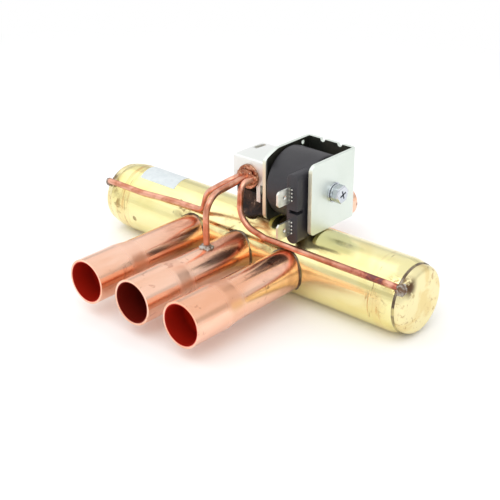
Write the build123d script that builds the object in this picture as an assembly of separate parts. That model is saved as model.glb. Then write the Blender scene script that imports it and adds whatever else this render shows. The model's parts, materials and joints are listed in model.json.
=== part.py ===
from build123d import *
from math import cos, radians, sin
import os

# Four way reversing valve, millimetres.
# Valve axes: origin where the body axis meets the middle stub axis, +X to the right end cap,
# -Y out of the three stub mouths, +Z up to the pilot coil.  The row frame moves that origin
# to the centre of the middle stub's mouth.

# main body
BODY_R = 14.7
BODY_WALL = 1.5
BORE_R = BODY_R - BODY_WALL
BODY_HALF = 76.0
CAP_FLANGE = 4.0
CAP_SPIGOT = 4.0
CAP_ROUND = 2.6

# stubs
PITCH = 25.5
MOUTH_Y = -71.7
SOCKET_R = 9.05
SOCKET_BORE_R = 8.0
SHANK_R = 8.3
SHANK_BORE_R = 7.1
SOCKET_LENGTH = 18.0
TAPER_LENGTH = 6.0
STUB_INNER_Y = -9.0
DIS_MOUTH_Y = 57.5
DIS_SOCKET_R = 7.3
DIS_SOCKET_BORE_R = 6.4
DIS_SHANK_R = 6.35
DIS_SHANK_BORE_R = 5.45
DIS_SOCKET_LENGTH = 12.0
DIS_TAPER_LENGTH = 4.0
DIS_INNER_Y = 12.9
DIS_TAP_Y = 30.0

# seat, slide and piston carriage
SEAT_Y = -6.0
SEAT_HALF = 35.2
PORT_R = 6.0
STROKE = 25.5
SLIDE_GAP = 0.05
SLIDE_HALF = 22.3
SLIDE_HALF_Z = 9.0
DOME_HALF = 20.6
DOME_HALF_Z = 7.8
DOME_WALL = 1.4
DOME_TOP_Y = 5.4
BAR_Y = 0.0
BAR_THICK = 1.5
BAR_HALF_Z = 10.0
CARRIAGE_END = 58.95
SCREW_HEAD = 3.0
RETAINER = 2.0
CUP_BASE = 1.0
CUP_LIP = 3.3
CUP_R = 13.14
PISTON_THICK = 3.0
PISTON_R = 12.6
TAB_END = CARRIAGE_END - SCREW_HEAD - RETAINER - CUP_BASE - PISTON_THICK

# pilot valve and solenoid
AXIS_Y = 5.2
AXIS_Z = 29.4
PILOT_R = 6.2
PILOT_X0 = -9.5
PILOT_X1 = 8.0
CHAMBER_R = 4.4
BOSS_X = -1.9
BOSS_R = 5.0
BOSS_Y = -5.2
PILOT_FLAT_Y = 2.4
PILOT_PITCH = 3.0
PILOT_STROKE = 3.0
TUBE_R = 5.5
TUBE_BORE_R = 5.1
CORE_X0 = 25.3
CORE_X1 = 32.0
PLUNGER_X0 = 4.2
PLUNGER_R = 5.03
PLUNGER_X1 = CORE_X0 - PILOT_STROKE - 0.3

# yoke, coil and terminals
YOKE_X0 = 9.2
YOKE_X1 = 33.67
YOKE_T = 1.6
YOKE_FRONT = -8.66
YOKE_BACK = 19.6
YOKE_Z0 = 15.06
YOKE_Z1 = 43.7
COIL_X0 = 10.95
COIL_X1 = 31.3
DRUM_R = 13.6
BLOCK_X0 = 25.8
BLOCK_Y = -13.0
BLOCK_Z0 = 11.9
BLOCK_Z1 = 40.5
BLADE_X = 26.4
BLADE_T = 0.8
BLADE_W = 6.3
BLADE_Y = -20.6
BLADE_UPPER_Z = 32.1
BLADE_LOWER_Z = 18.6

# guard and foot
GUARD_T = 1.2
GUARD_X0 = -10.3
GUARD_FRONT = -4.0
GUARD_BACK = 14.3
GUARD_TOP = 36.9
GUARD_HEM = 27.0
FOOT_T = 1.2

# capillaries
CAP_R = 1.25
CAP_BORE_R = 0.75
LAY_ANGLE = 38.0
CAP_ENTRY_R = [2.4]


def x_rod(radius, x0, x1, y=0.0, z=0.0):
    return Pos((x0 + x1) / 2, y, z) * Rot(0, 90, 0) * Cylinder(radius, x1 - x0)


def y_rod(radius, y0, y1, x=0.0, z=0.0):
    return Pos(x, (y0 + y1) / 2, z) * Rot(90, 0, 0) * Cylinder(radius, y1 - y0)


def block(x0, x1, y0, y1, z0, z1):
    return Pos((x0 + x1) / 2, (y0 + y1) / 2, (z0 + z1) / 2) * Box(x1 - x0, y1 - y0, z1 - z0)


def turned_x(points):
    return revolve(make_face(Polyline(*points, close=True)), Axis.X)


def turned_y(points):
    return revolve(make_face(Polyline(*points, close=True)), Axis.Y)


def bent_tube(points, radii):
    path = FilletPolyline(*points, radius=radii)
    ring = Circle(CAP_R) - Circle(CAP_BORE_R)
    start = Plane(origin=path @ 0, z_dir=path % 0)
    return sweep(start * ring, path=path)


def bent_rod(points, radii, radius):
    path = FilletPolyline(*points, radius=radii)
    start = Plane(origin=path @ 0, z_dir=path % 0)
    return sweep(start * Circle(radius), path=path)


def mirrored(shape):
    return mirror(shape, Plane.YZ)


# ---------------------------------------------------------------- body

def stub_at(x, mouth, socket_r, socket_bore, shank_r, shank_bore, socket_len, taper_len, inner):
    step = 1.0 if mouth < 0 else -1.0
    shoulder = mouth + step * socket_len
    neck = shoulder + step * taper_len
    profile = [
        (socket_bore, mouth),
        (socket_r, mouth),
        (socket_r, shoulder),
        (shank_r, neck),
        (shank_r, inner),
        (shank_bore, inner),
        (shank_bore, neck),
        (socket_bore, shoulder),
    ]
    return Pos(x, 0, 0) * turned_y(profile)


def main_stub(x):
    return stub_at(x, MOUTH_Y, SOCKET_R, SOCKET_BORE_R, SHANK_R, SHANK_BORE_R,
                   SOCKET_LENGTH, TAPER_LENGTH, STUB_INNER_Y)


def stub_suction():
    return main_stub(0.0) - suction_tap()


def suction_tap():
    return Pos(0, -31.3, 8.0) * Cylinder(CAP_R, 4.0)


def stub_discharge():
    pipe = stub_at(0.0, DIS_MOUTH_Y, DIS_SOCKET_R, DIS_SOCKET_BORE_R, DIS_SHANK_R,
                   DIS_SHANK_BORE_R, DIS_SOCKET_LENGTH, DIS_TAPER_LENGTH, DIS_INNER_Y)
    return pipe - Pos(0, DIS_TAP_Y, 6.5) * Cylinder(CAP_R, 3.0)


def body_tube():
    shell = x_rod(BODY_R, -BODY_HALF, BODY_HALF) - x_rod(BORE_R, -BODY_HALF, BODY_HALF)
    for x in (-PITCH, 0.0, PITCH):
        shell -= y_rod(SHANK_R, -20, -5, x)
    return shell - y_rod(DIS_SHANK_R, 5, 20)


def end_cap_right():
    flange = x_rod(BODY_R, BODY_HALF, BODY_HALF + CAP_FLANGE)
    rim = flange.edges().filter_by(GeomType.CIRCLE).sort_by(Axis.X)[-1]
    cap = fillet(rim, CAP_ROUND)
    cap += x_rod(BORE_R, BODY_HALF - CAP_SPIGOT, BODY_HALF)
    cap -= x_rod(9.5, BODY_HALF - CAP_SPIGOT, BODY_HALF)
    return cap - bent_rod(cap_entry(), CAP_ENTRY_R, CAP_R)


def end_cap_left():
    return mirrored(end_cap_right())


def cap_braze(side):
    x = BODY_HALF * side
    ring = turned_x([
        (x - 1.1, BODY_R),
        (x - 0.5, BODY_R + 0.28),
        (x + 0.5, BODY_R + 0.28),
        (x + 1.1, BODY_R),
    ])
    return ring - sided(bent_rod(cap_entry(), CAP_ENTRY_R, CAP_R), side)


def stub_braze(x):
    collar = y_rod(SHANK_R + 0.9, -17, -8, x) - y_rod(SHANK_R, -17, -8, x)
    top = lay(0, LAY_ANGLE)
    collar -= x_rod(CAP_R, 10, 40, top[1], top[2])
    return collar & (x_rod(BODY_R + 0.7, x - 11, x + 11) - x_rod(BODY_R, x - 11, x + 11))


def discharge_braze():
    collar = y_rod(DIS_SHANK_R + 0.9, 8, 17) - y_rod(DIS_SHANK_R, 8, 17)
    return collar & (x_rod(BODY_R + 0.7, -9, 9) - x_rod(BODY_R, -9, 9))


# ---------------------------------------------------------------- seat and carriage

def valve_seat():
    land = x_rod(BORE_R, -SEAT_HALF, SEAT_HALF) & block(-40, 40, -20, SEAT_Y, -20, 20)
    for x in (-PITCH, 0.0, PITCH):
        land -= y_rod(SHANK_R, -20, STUB_INNER_Y, x)
        land -= y_rod(PORT_R, -20, 0, x)
    return land


def slide_block():
    foot_y = SEAT_Y + SLIDE_GAP
    flange = Pos(0, foot_y, 0) * Rot(-90, 0, 0) * extrude(
        RectangleRounded(2 * SLIDE_HALF, 2 * SLIDE_HALF_Z, 4.0), 2.4)
    dome = Pos(0, foot_y, 0) * Rot(-90, 0, 0) * extrude(
        RectangleRounded(2 * DOME_HALF, 2 * DOME_HALF_Z, 5.0), DOME_TOP_Y - foot_y)
    lid = dome.faces().sort_by(Axis.Y)[-1].edges()
    dome = fillet(lid, 2.0)
    hollow = Pos(0, foot_y, 0) * Rot(-90, 0, 0) * extrude(
        RectangleRounded(2 * (DOME_HALF - DOME_WALL), 2 * (DOME_HALF_Z - DOME_WALL), 4.0),
        DOME_TOP_Y - foot_y - DOME_WALL)
    return carried((flange + dome) - hollow)


def connecting_bar():
    bar = block(-TAB_END, TAB_END, BAR_Y, BAR_Y + BAR_THICK, -BAR_HALF_Z, BAR_HALF_Z)
    window = block(-DOME_HALF - 0.1, DOME_HALF + 0.1, -3, 4, -DOME_HALF_Z - 0.1, DOME_HALF_Z + 0.1)
    bar -= window
    for x in (-36.0, 36.0):
        bar -= Pos(x, 0, 0) * Rot(90, 0, 0) * Cylinder(4.0, 6.0)
    for side in (-1, 1):
        outer = side * TAB_END
        inner = side * (TAB_END - BAR_THICK)
        tab = x_rod(7.5, min(outer, inner), max(outer, inner))
        bar += tab
    return carried(bar - x_rod(2.05, -60, -TAB_END + 4) - x_rod(2.05, TAB_END - 4, 60))


def piston(side):
    disc = x_rod(PISTON_R, TAB_END, TAB_END + PISTON_THICK) - x_rod(2.05, 40, 70)
    groove = x_rod(PISTON_R + 1, TAB_END + 1.1, TAB_END + 1.9) - x_rod(PISTON_R - 0.8, 40, 70)
    return carried(sided(disc - groove, side))


def piston_cup(side):
    x0 = TAB_END + PISTON_THICK
    cup = turned_x([
        (x0, 2.05),
        (x0, CUP_R),
        (x0 + CUP_BASE + CUP_LIP, CUP_R),
        (x0 + CUP_BASE + CUP_LIP, CUP_R - 0.7),
        (x0 + CUP_BASE, CUP_R - 1.0),
        (x0 + CUP_BASE, 2.05),
    ])
    return carried(sided(cup, side))


def cup_retainer(side):
    x0 = TAB_END + PISTON_THICK + CUP_BASE
    washer = turned_x([(x0, 2.05), (x0, 11.6), (x0 + 0.9, 11.6), (x0 + RETAINER, 9.4),
                       (x0 + RETAINER, 2.05)])
    return carried(sided(washer, side))


def piston_screws():
    x0 = CARRIAGE_END - SCREW_HEAD
    hexagon = Pos(x0, 0, 0) * Rot(0, 90, 0) * extrude(RegularPolygon(4.4, 6), SCREW_HEAD - 0.6)
    tip = x_rod(2.6, x0 + SCREW_HEAD - 0.6, CARRIAGE_END)
    screw = hexagon + tip + x_rod(2.05, TAB_END - BAR_THICK - 1.5, x0)
    return Compound([carried(screw), carried(mirrored(screw))])


def sided(shape, side):
    return shape if side > 0 else mirrored(shape)


def carried(shape):
    return Pos(-STROKE / 2, 0, 0) * shape


# ---------------------------------------------------------------- pilot valve

def pilot_body():
    case = x_rod(PILOT_R, PILOT_X0, PILOT_X1, AXIS_Y, AXIS_Z)
    rim = case.edges().filter_by(GeomType.CIRCLE).sort_by(Axis.X)[0]
    case = chamfer(rim, 0.8)
    case -= x_rod(CHAMBER_R, PILOT_X0 + 2.0, PILOT_X1, AXIS_Y, AXIS_Z)
    case -= x_rod(TUBE_R, PLUNGER_X0 - 0.4, PILOT_X1, AXIS_Y, AXIS_Z)
    case -= y_rod(3.9, -6, AXIS_Y, BOSS_X, AXIS_Z)
    return case - y_rod(CAP_R, AXIS_Y, 14, -5.0, AXIS_Z)


def pilot_seat():
    boss = y_rod(BOSS_R, BOSS_Y, 3.0, BOSS_X, AXIS_Z)
    boss -= x_rod(PILOT_R, -20, 20, AXIS_Y, AXIS_Z)
    boss += y_rod(3.9, BOSS_Y + 1, PILOT_FLAT_Y, BOSS_X, AXIS_Z)
    for step in (-1, 0, 1):
        x = BOSS_X + step * PILOT_PITCH
        boss -= y_rod(CAP_R, BOSS_Y, BOSS_Y + 3.0, x, AXIS_Z)
        boss -= y_rod(0.7, BOSS_Y, PILOT_FLAT_Y, x, AXIS_Z)
    return boss


def pilot_slide():
    x = BOSS_X - PILOT_PITCH / 2
    y0 = PILOT_FLAT_Y + SLIDE_GAP
    shoe = block(x - 2.75, x + 2.75, y0, y0 + 1.9, AXIS_Z - 1.5, AXIS_Z + 1.5)
    return shoe - block(x - 2.1, x + 2.1, y0, y0 + 1.0, AXIS_Z - 0.8, AXIS_Z + 0.8)


def slide_carrier():
    x = BOSS_X - PILOT_PITCH / 2
    y0 = PILOT_FLAT_Y + 1.1
    arm = block(x - 3.8, PLUNGER_X0, y0, y0 + 0.8, AXIS_Z - 2.6, AXIS_Z + 2.6)
    return arm - block(x - 2.8, x + 2.8, y0 - 1, y0 + 2, AXIS_Z - 1.55, AXIS_Z + 1.55)


def slide_spring():
    x = BOSS_X - PILOT_PITCH / 2
    y0 = PILOT_FLAT_Y + SLIDE_GAP + 1.9
    leaf = block(x - 2.4, PLUNGER_X0, y0, y0 + 0.3, AXIS_Z - 1.2, AXIS_Z + 1.2)
    return leaf


def plunger():
    slug = x_rod(PLUNGER_R, PLUNGER_X0, PLUNGER_X1, AXIS_Y, AXIS_Z)
    slug -= x_rod(2.9, PLUNGER_X1 - 5.0, PLUNGER_X1, AXIS_Y, AXIS_Z)
    for side in (-1, 1):
        flat = AXIS_Z + side * 5.3
        slug -= block(PLUNGER_X0, PLUNGER_X1, AXIS_Y - 1.0, AXIS_Y + 1.0, flat - 0.7, flat + 0.7)
    return slug


def plunger_spring():
    length = CORE_X0 - PLUNGER_X1 + 5.0
    wire = 0.45
    coil = Helix(pitch=(length - 2 * wire) / 4.5, height=length - 2 * wire, radius=2.2)
    start = Plane(origin=coil @ 0, z_dir=coil % 0)
    spring = sweep(start * Circle(wire), path=coil)
    return Pos(PLUNGER_X1 - 5.0 + wire, AXIS_Y, AXIS_Z) * Rot(0, 90, 0) * spring


def plunger_tube():
    sleeve = x_rod(TUBE_R, PLUNGER_X0 - 0.4, CORE_X1, AXIS_Y, AXIS_Z)
    return sleeve - x_rod(TUBE_BORE_R, PLUNGER_X0 - 0.4, CORE_X1, AXIS_Y, AXIS_Z)


def fixed_core():
    slug = x_rod(TUBE_BORE_R, CORE_X0, CORE_X1, AXIS_Y, AXIS_Z)
    return slug - x_rod(2.0, CORE_X1 - 5.5, CORE_X1, AXIS_Y, AXIS_Z)


def pilot_foot():
    left = -9.6
    right = 4.6
    front = GUARD_FRONT + GUARD_T + 0.05
    deck = AXIS_Z - PILOT_R - FOOT_T
    rear = 12.0
    cheek = block(left, right, front, front + FOOT_T, 19.4, deck + FOOT_T)
    foot = fillet(cheek.edges().filter_by(Axis.Y).group_by(Axis.Z)[0], 1.5)
    foot += block(-3.6, right, front, front + FOOT_T, 10, 20)
    foot += block(left, right, front, rear, deck, deck + FOOT_T)
    foot += block(-3.6, right, rear - FOOT_T, rear, 5, deck + FOOT_T)
    return foot - x_rod(BODY_R, -20, 20)


def pilot_guard():
    outer = block(GUARD_X0, YOKE_X0, GUARD_FRONT, GUARD_BACK, GUARD_HEM - 4, GUARD_TOP)
    outer = fillet(outer.edges().filter_by(Axis.X).group_by(Axis.Z)[-1], 0.8)
    inner = block(GUARD_X0 - 1, YOKE_X0 - GUARD_T, GUARD_FRONT + GUARD_T,
                  GUARD_BACK - GUARD_T, 0, GUARD_TOP - GUARD_T)
    hood = outer - inner
    hood -= block(GUARD_X0 - 1, YOKE_X0 - GUARD_T, GUARD_FRONT - 1, GUARD_BACK + 1, 0, GUARD_HEM)
    leg = block(1.9, 3.9, GUARD_FRONT, GUARD_FRONT + GUARD_T, 19.0, GUARD_HEM + 1)
    hood += fillet(leg.edges().filter_by(Axis.Y).group_by(Axis.Z)[0], 0.8)
    hood -= y_rod(BOSS_R + 0.1, GUARD_FRONT - 1, 0, BOSS_X, AXIS_Z)
    hood -= y_rod(CAP_R + 0.6, 10, 16, -5.0, AXIS_Z)
    hood -= x_rod(TUBE_R + 0.05, 5, 12, AXIS_Y, AXIS_Z)
    slot = Pos(-8.0, 9.6, GUARD_TOP) * Rot(0, 0, 82) * extrude(SlotOverall(5.6, 2.2), 4, both=True)
    slit = block(-9.3, -7.0, 6.3, 6.6, GUARD_TOP - 3, GUARD_TOP + 3)
    return hood - slot - slit


# ---------------------------------------------------------------- coil

def coil_yoke():
    edge_y = YOKE_FRONT
    half = (YOKE_BACK - edge_y) / 2
    mid_y = edge_y + half
    outer = block(YOKE_X0, YOKE_X1, edge_y, YOKE_BACK, YOKE_Z0, YOKE_Z1)
    outer = fillet(outer.edges().filter_by(Axis.Z).group_by(Axis.Y)[-1], 2.4)
    inner = block(YOKE_X0 + YOKE_T, YOKE_X1 - YOKE_T, edge_y - 1, YOKE_BACK - YOKE_T, 0, 60)
    inner = fillet(inner.edges().filter_by(Axis.Z).group_by(Axis.Y)[-1], 0.3)
    yoke = outer - inner
    yoke -= left_plate_trim()
    yoke -= corner_trim(YOKE_X0, YOKE_Z0, 1, 3.0)
    yoke -= corner_trim(YOKE_X1 - YOKE_T, YOKE_Z1, -1, 3.0)
    yoke -= corner_trim(YOKE_X1 - YOKE_T, YOKE_Z0, 1, 2.0)
    yoke -= x_rod(TUBE_R + 0.05, YOKE_X0 - 1, YOKE_X0 + YOKE_T + 1, AXIS_Y, AXIS_Z)
    yoke -= x_rod(2.2, YOKE_X1 - YOKE_T - 1, YOKE_X1 + 1, AXIS_Y, AXIS_Z)
    yoke -= x_rod(0.9, YOKE_X0 - 1, YOKE_X0 + YOKE_T + 1, mid_y + 8.6, YOKE_Z1 - 1.8)
    for x in (17.6, 26.1):
        yoke -= y_rod(1.2, YOKE_BACK - 4, YOKE_BACK + 1, x, YOKE_Z1)
    return yoke


def corner_trim(x, z, up, radius):
    corner = block(x - 0.5, x + YOKE_T + 0.5, YOKE_FRONT - 1, YOKE_FRONT + radius,
                   min(z - up, z + up * radius), max(z - up, z + up * radius))
    return corner - x_rod(radius, x - 1, x + YOKE_T + 1, YOKE_FRONT + radius, z + up * radius)


def left_plate_trim():
    x0 = YOKE_X0 - 0.5
    curve = Spline((x0, YOKE_FRONT, 38.8), (x0, -6.6, 41.6), (x0, -2.4, 43.2), (x0, 4.6, YOKE_Z1),
                   tangents=[(0, 0, 1), (0, 1, 0)])
    rest = Polyline((x0, 4.6, YOKE_Z1), (x0, 4.6, YOKE_Z1 + 3), (x0, YOKE_FRONT - 3, YOKE_Z1 + 3),
                    (x0, YOKE_FRONT - 3, 38.8), (x0, YOKE_FRONT, 38.8))
    face = make_face(Wire([curve, *rest.edges()]).edges())
    return extrude(face, YOKE_T + 1, dir=(1, 0, 0))


def coil_moulding():
    drum = x_rod(DRUM_R, COIL_X0, COIL_X1, AXIS_Y, AXIS_Z)
    drum = fillet(drum.edges().filter_by(GeomType.CIRCLE), 1.0)
    collar = x_rod(DRUM_R + 0.5, COIL_X0, COIL_X0 + 1.8, AXIS_Y, AXIS_Z)
    ends = Pos((BLOCK_X0 + COIL_X1) / 2, 0, (BLOCK_Z0 + BLOCK_Z1) / 2) * Rot(90, 0, 0) * extrude(
        RectangleRounded(COIL_X1 - BLOCK_X0, BLOCK_Z1 - BLOCK_Z0, 2.6), -BLOCK_Y)
    case = drum + collar + ends
    case -= x_rod(BODY_R + 0.5, 0, 40)
    case -= block(0, 40, YOKE_BACK - YOKE_T - 0.1, 30, 0, 60)
    case -= x_rod(11.0, 12.5, 29.5, AXIS_Y, AXIS_Z)
    case -= x_rod(TUBE_R + 0.1, 0, 40, AXIS_Y, AXIS_Z)
    case -= block(28.8, COIL_X1 + 1, BLOCK_Y - 1, BLOCK_Y + 4.5, 24.3, 25.3)
    for z in (BLADE_UPPER_Z, BLADE_LOWER_Z):
        case -= block(BLADE_X, BLADE_X + BLADE_T, BLADE_Y, -8.0, z - BLADE_W / 2, z + BLADE_W / 2)
    return case


def coil_bobbin():
    spool = x_rod(11.0, 12.5, 29.5, AXIS_Y, AXIS_Z) - x_rod(11.5, 13.7, 28.3, AXIS_Y, AXIS_Z)
    spool += x_rod(6.6, 12.5, 29.5, AXIS_Y, AXIS_Z)
    return spool - x_rod(TUBE_R + 0.1, 12.5, 29.5, AXIS_Y, AXIS_Z)


def coil_winding():
    return (x_rod(10.4, 13.7, 28.3, AXIS_Y, AXIS_Z)
            - x_rod(6.6, 13.7, 28.3, AXIS_Y, AXIS_Z))


def blade(z):
    half = BLADE_W / 2
    tip = BLADE_Y
    plate = make_face(Polyline(
        (BLADE_X, -8.0, z - half),
        (BLADE_X, tip + 1.0, z - half),
        (BLADE_X, tip, z - half + 1.0),
        (BLADE_X, tip, z + half - 1.0),
        (BLADE_X, tip + 1.0, z + half),
        (BLADE_X, -8.0, z + half),
        close=True))
    tab = extrude(plate, BLADE_T, dir=(1, 0, 0))
    return tab - x_rod(0.85, BLADE_X - 1, BLADE_X + 2, tip + 3.9, z)


def spring_washer():
    ring = x_rod(3.6, YOKE_X1, YOKE_X1 + 1.0, AXIS_Y, AXIS_Z)
    ring -= x_rod(2.1, YOKE_X1 - 1, YOKE_X1 + 2, AXIS_Y, AXIS_Z)
    gap = Pos(YOKE_X1 + 0.5, AXIS_Y, AXIS_Z + 3) * Rot(0, 0, 25) * Box(4, 0.5, 4)
    return ring - gap


def coil_screw():
    seat_x = YOKE_X1 + 1.0
    head = x_rod(3.7, seat_x, seat_x + 2.9, AXIS_Y, AXIS_Z)
    rim = head.edges().filter_by(GeomType.CIRCLE).sort_by(Axis.X)[-1]
    head = fillet(rim, 1.5)
    for turn in (0, 90):
        head -= Pos(seat_x + 2.4, AXIS_Y, AXIS_Z) * Rot(turn, 0, 0) * Box(2.6, 4.2, 0.9)
    return head + x_rod(1.95, CORE_X1 - 5.0, seat_x, AXIS_Y, AXIS_Z)


# ---------------------------------------------------------------- capillaries

def lay(x, degrees, gap=0.08):
    reach = BODY_R + CAP_R + gap
    return (x, -reach * cos(radians(degrees)), reach * sin(radians(degrees)))


def cap_entry():
    bend = lay(77.6, LAY_ANGLE)
    tip = lay(78.6, LAY_ANGLE, -5.3)
    return [lay(70.0, LAY_ANGLE), bend, tip]


def capillary_right():
    end = cap_entry()
    return bent_tube([
        (BOSS_X + PILOT_PITCH, BOSS_Y + 3.0, AXIS_Z),
        (BOSS_X + PILOT_PITCH, -12.3, AXIS_Z),
        (-0.1, -12.2, 12.6),
        lay(14.0, LAY_ANGLE),
        end[1],
        end[2],
    ], [4.0, 9.0, 4.0, *CAP_ENTRY_R])


def capillary_left():
    end = cap_entry()
    return bent_tube([
        (BOSS_X - PILOT_PITCH, BOSS_Y + 3.0, AXIS_Z),
        (BOSS_X - PILOT_PITCH, -11.4, AXIS_Z),
        (-17.2, -12.7, 20.8),
        (-20.6, -11.9, 11.6),
        lay(-37.0, 43, 0.3),
        lay(-57.0, LAY_ANGLE),
        (-end[1][0], end[1][1], end[1][2]),
        (-end[2][0], end[2][1], end[2][2]),
    ], [4.0, 9.0, 4.0, 20.0, 30.0, *CAP_ENTRY_R])


def capillary_suction():
    return bent_tube([
        (0.0, -31.3, 7.3),
        (0.0, -31.3, 28.8),
        (BOSS_X, -9.2, AXIS_Z),
        (BOSS_X, BOSS_Y + 3.0, AXIS_Z),
    ], [8.5, 8.0])


def capillary_discharge():
    return bent_tube([
        (0.0, DIS_TAP_Y, 5.6),
        (0.0, DIS_TAP_Y, AXIS_Z),
        (-5.0, 22.0, AXIS_Z),
        (-5.0, AXIS_Y + 5.4, AXIS_Z),
    ], [5.0, 6.0])


def tap_braze(x, y, z, height):
    collar = Pos(x, y, z) * Cone(CAP_R + 1.3, CAP_R + 0.15, height)
    return collar - Pos(x, y, z) * Cylinder(CAP_R, height + 2)


def suction_tap_braze():
    return tap_braze(0, -31.3, 8.6, 2.2) - y_rod(SHANK_R, -40, -20)


def discharge_tap_braze():
    return tap_braze(0, DIS_TAP_Y, 6.7, 2.0) - y_rod(DIS_SHANK_R, 20, 40)


def pilot_braze():
    pad = Pos(BOSS_X, BOSS_Y - 0.5, AXIS_Z) * Rot(90, 0, 0) * extrude(
        SlotOverall(2 * PILOT_PITCH + 3.6, 3.6), 0.5, both=True)
    for step in (-1, 0, 1):
        pad -= y_rod(CAP_R, -12, 0, BOSS_X + step * PILOT_PITCH, AXIS_Z)
    return pad - y_rod(BOSS_R, BOSS_Y, 0, BOSS_X, AXIS_Z)


def cap_tap_braze_right():
    end = cap_entry()
    lump = Pos(78.3, end[1][1] * 0.925, end[1][2] * 0.925) * Sphere(2.2)
    lump -= x_rod(BODY_R, 70, BODY_HALF)
    lump -= bent_rod(end, CAP_ENTRY_R, CAP_R)
    return lump - end_cap_right() - cap_braze(1)


def cap_tap_braze_left():
    return mirrored(cap_tap_braze_right())


NODES = {
    "body_tube": body_tube,
    "end_cap_left": end_cap_left,
    "end_cap_right": end_cap_right,
    "cap_braze_left": lambda: cap_braze(-1),
    "cap_braze_right": lambda: cap_braze(1),
    "valve_seat": valve_seat,
    "stub_evaporator": lambda: main_stub(-PITCH),
    "stub_suction": stub_suction,
    "stub_condenser": lambda: main_stub(PITCH),
    "stub_discharge": stub_discharge,
    "braze_evaporator": lambda: stub_braze(-PITCH),
    "braze_suction": lambda: stub_braze(0.0),
    "braze_condenser": lambda: stub_braze(PITCH),
    "braze_discharge": discharge_braze,
    "slide_block": slide_block,
    "connecting_bar": connecting_bar,
    "piston_left": lambda: piston(-1),
    "piston_right": lambda: piston(1),
    "piston_cup_left": lambda: piston_cup(-1),
    "piston_cup_right": lambda: piston_cup(1),
    "cup_retainer_left": lambda: cup_retainer(-1),
    "cup_retainer_right": lambda: cup_retainer(1),
    "piston_screws": piston_screws,
    "pilot_body": pilot_body,
    "pilot_seat": pilot_seat,
    "pilot_slide": pilot_slide,
    "slide_carrier": slide_carrier,
    "slide_spring": slide_spring,
    "plunger": plunger,
    "plunger_spring": plunger_spring,
    "plunger_tube": plunger_tube,
    "fixed_core": fixed_core,
    "pilot_foot": pilot_foot,
    "pilot_guard": pilot_guard,
    "coil_yoke": coil_yoke,
    "coil_moulding": coil_moulding,
    "coil_bobbin": coil_bobbin,
    "coil_winding": coil_winding,
    "terminal_upper": lambda: blade(BLADE_UPPER_Z),
    "terminal_lower": lambda: blade(BLADE_LOWER_Z),
    "coil_screw": coil_screw,
    "spring_washer": spring_washer,
    "capillary_left": capillary_left,
    "capillary_right": capillary_right,
    "capillary_suction": capillary_suction,
    "capillary_discharge": capillary_discharge,
    "braze_capillary_suction": suction_tap_braze,
    "braze_capillary_discharge": discharge_tap_braze,
    "braze_capillary_left": cap_tap_braze_left,
    "braze_capillary_right": cap_tap_braze_right,
    "braze_pilot_ports": pilot_braze,
}

os.makedirs("parts", exist_ok=True)
for name, build in NODES.items():
    export_step(Pos(0, -MOUTH_Y, 0) * build(), "parts/" + name + ".step")
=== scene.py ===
import json
import math

import bmesh
import bpy
from mathutils import Matrix, Vector, noise


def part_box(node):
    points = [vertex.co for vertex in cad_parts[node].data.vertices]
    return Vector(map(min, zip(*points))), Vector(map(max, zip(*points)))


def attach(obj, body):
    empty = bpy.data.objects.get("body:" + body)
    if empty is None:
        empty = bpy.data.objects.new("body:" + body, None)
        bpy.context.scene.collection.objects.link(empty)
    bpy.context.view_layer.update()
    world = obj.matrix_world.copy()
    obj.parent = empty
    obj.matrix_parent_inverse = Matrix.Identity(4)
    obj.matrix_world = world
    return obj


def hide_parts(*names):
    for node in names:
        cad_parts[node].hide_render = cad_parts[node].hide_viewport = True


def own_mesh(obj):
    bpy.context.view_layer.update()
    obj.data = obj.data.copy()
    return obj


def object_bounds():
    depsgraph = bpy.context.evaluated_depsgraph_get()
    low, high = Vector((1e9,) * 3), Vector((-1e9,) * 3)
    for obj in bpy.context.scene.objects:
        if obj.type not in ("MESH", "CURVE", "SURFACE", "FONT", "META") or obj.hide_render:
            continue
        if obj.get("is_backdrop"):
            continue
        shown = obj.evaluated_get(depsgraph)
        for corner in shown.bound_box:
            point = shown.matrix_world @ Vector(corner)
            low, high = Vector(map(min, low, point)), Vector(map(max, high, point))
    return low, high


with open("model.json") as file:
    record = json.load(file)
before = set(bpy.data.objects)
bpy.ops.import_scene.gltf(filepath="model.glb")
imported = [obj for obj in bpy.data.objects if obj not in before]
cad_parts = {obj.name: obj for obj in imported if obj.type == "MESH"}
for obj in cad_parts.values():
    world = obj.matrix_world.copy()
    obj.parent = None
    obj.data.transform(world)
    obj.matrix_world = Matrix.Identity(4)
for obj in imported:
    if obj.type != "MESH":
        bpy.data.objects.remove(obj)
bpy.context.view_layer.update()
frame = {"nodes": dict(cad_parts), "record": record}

MM = 0.001
WHITE = (1.0, 1.0, 1.0, 1.0)
nodes = frame["nodes"]


# ------------------------------------------------------------------ measures taken from the frame

def middle(name):
    low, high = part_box(name)
    return (Vector(low) + Vector(high)) / 2


body_axis = middle("body_tube")
body_radius = (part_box("body_tube")[1][2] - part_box("body_tube")[0][2]) / 2
body_half = (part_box("body_tube")[1][0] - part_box("body_tube")[0][0]) / 2
coil_axis = middle("plunger_tube")
stub_x = {name: middle(name).x for name in ("stub_evaporator", "stub_suction", "stub_condenser")}
yoke_low, yoke_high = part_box("coil_yoke")
moulding_low, moulding_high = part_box("coil_moulding")
socket_length = frame["record"]["mounts"][0]["dims"]["length_mm"] * MM

YOKE_SHEET = 1.6 * MM
NECK_LENGTH = 5.5 * MM                  # the stretch of each tube end that is drawn in
NECK_DROP = 0.95 * MM                   # and what its radius loses
DISC_RADIUS = body_radius - 1.25 * MM   # a cap's face, inside of the drawn-in end


# ------------------------------------------------------------------ finishes

def tint(red, green, blue):
    def linear(value):
        value /= 255
        return value / 12.92 if value <= 0.04045 else ((value + 0.055) / 1.055) ** 2.4
    return (linear(red), linear(green), linear(blue), 1.0)


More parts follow.
